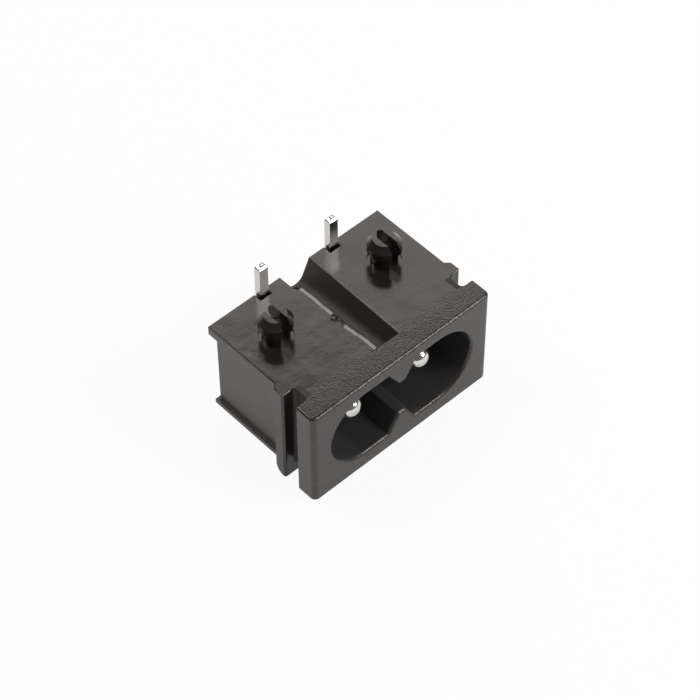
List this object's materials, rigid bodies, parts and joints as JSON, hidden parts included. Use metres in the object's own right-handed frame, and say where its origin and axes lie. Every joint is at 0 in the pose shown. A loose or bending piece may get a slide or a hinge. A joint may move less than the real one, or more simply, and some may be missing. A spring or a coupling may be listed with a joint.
{
  "type": "figure eight power connector",
  "caption": "Board-mounted figure eight mains inlet: black moulded housing with round male contacts in a shrouded cavity, snap pegs and solder tails on its board side.",
  "frame": {"origin": "centre of the whole socket in plan, on the surface that its flange stands on, with the board side up", "axes": "+X along the front flange, +Y from the front face to the riveted ends of the pins, +Z towards the circuit board"},
  "size_m": [0.022, 0.015, 0.0159],
  "materials": {
    "housing": "black moulded thermoplastic, satin with a fine spark-eroded grain outside and smooth inside",
    "contact_pin": "turned brass, bright nickel plate",
    "solder_terminal": "stamped brass, bright tin plate"
  },
  "bodies": {
    "root": {"housing": "housing", "left_contact_pin": "contact_pin", "right_contact_pin": "contact_pin", "left_solder_terminal": "solder_terminal", "right_solder_terminal": "solder_terminal"}
  },
  "joints": []
}
